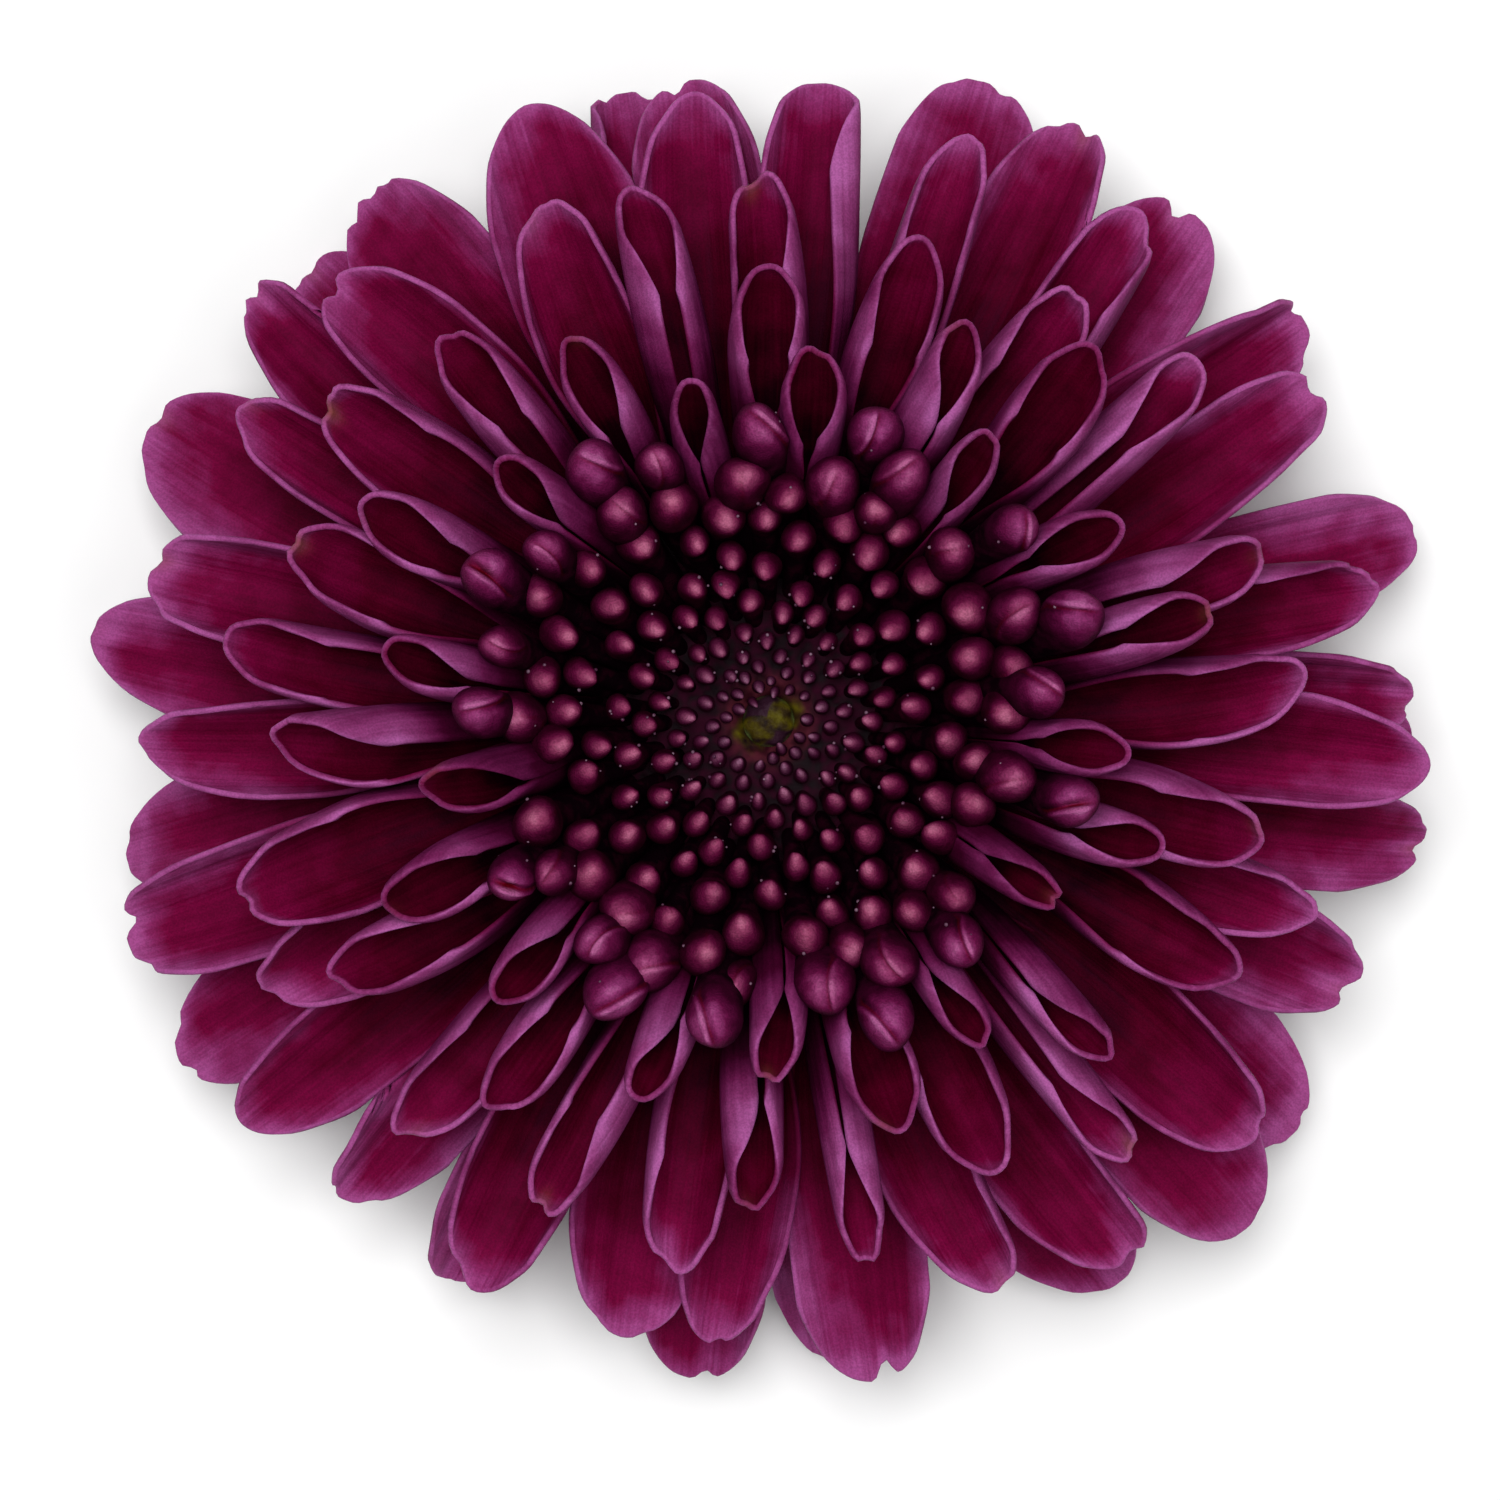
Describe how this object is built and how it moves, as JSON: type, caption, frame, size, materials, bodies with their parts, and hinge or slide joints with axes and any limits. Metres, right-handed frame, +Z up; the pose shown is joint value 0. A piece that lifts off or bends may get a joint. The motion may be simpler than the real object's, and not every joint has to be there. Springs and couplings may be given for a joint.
{
  "type": "pompon chrysanthemum bloom",
  "caption": "Cut pompon chrysanthemum bloom lying face up: closed club florets in the middle, cupped spoons round them and open petals outside, on a green calyx and stalk stub.",
  "frame": {"origin": "on the surface the bloom rests on, under the middle of its outline", "axes": "+Z up, out of the middle of the bloom; +Y is the top of the bloom as it is seen from above"},
  "size_m": [0.0596, 0.0582, 0.0189],
  "materials": {
    "petals": "velvety wine-purple petals with paler orchid backs and margins",
    "bracts": "matt green scales with thin dry margins",
    "stalk": "fleshy green stalk with fine ribs and a moist pale cut end"
  },
  "bodies": {
    "root": {"ray_florets": "petals", "involucre": "bracts", "stalk": "stalk"}
  },
  "joints": []
}
